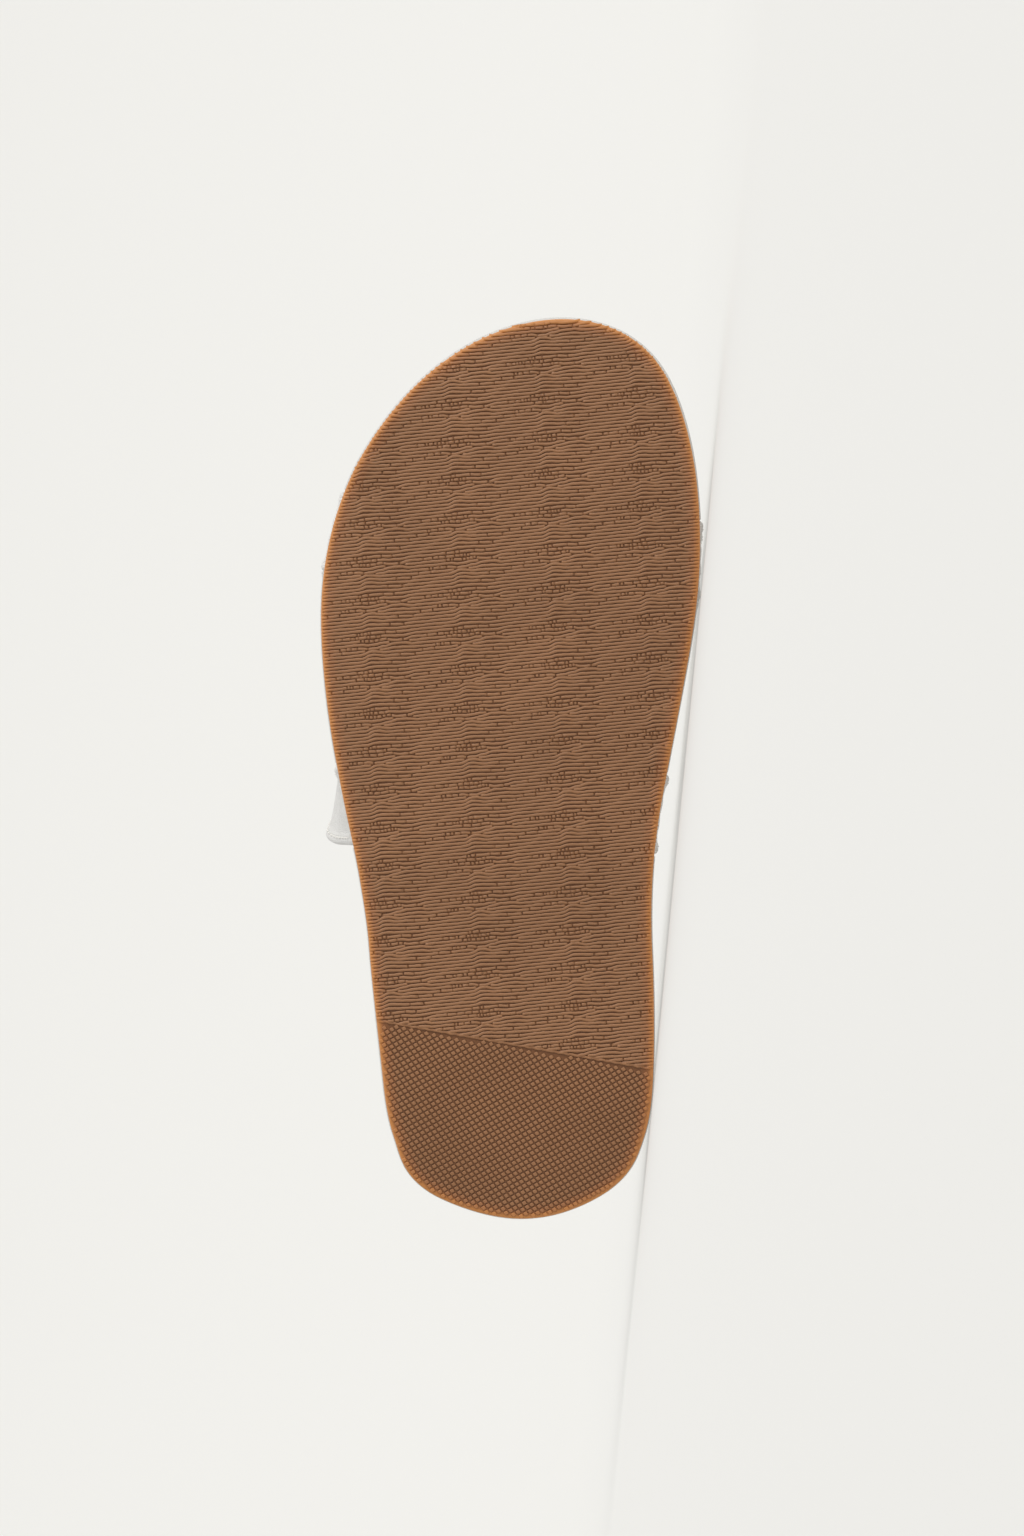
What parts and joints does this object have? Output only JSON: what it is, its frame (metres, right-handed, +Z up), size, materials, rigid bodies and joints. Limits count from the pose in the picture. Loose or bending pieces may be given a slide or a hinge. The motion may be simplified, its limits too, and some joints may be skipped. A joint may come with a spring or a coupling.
{
  "type": "slide sandal",
  "caption": "Slide sandal for the right foot, lying on its inner side: shaped footbed on a thin patterned rubber outsole, with broad straps that cross over the foot",
  "frame": {"origin": "Middle of the bounding box's floor print, on the floor, as the sandal lies on its inner side.", "axes": "+X runs along the sole from heel to toe, the tread faces -Y, and +Z is up, towards the outer side of the foot."},
  "size_m": [0.2538, 0.0826, 0.1074],
  "materials": {
    "gum_rubber": "satin",
    "wrapped_foam": "matte",
    "insole_leather": "matte",
    "strap_leather": "satin"
  },
  "bodies": {
    "root": {"outsole": "gum_rubber", "midsole": "wrapped_foam", "insole": "insole_leather", "upper": "strap_leather"}
  },
  "joints": []
}
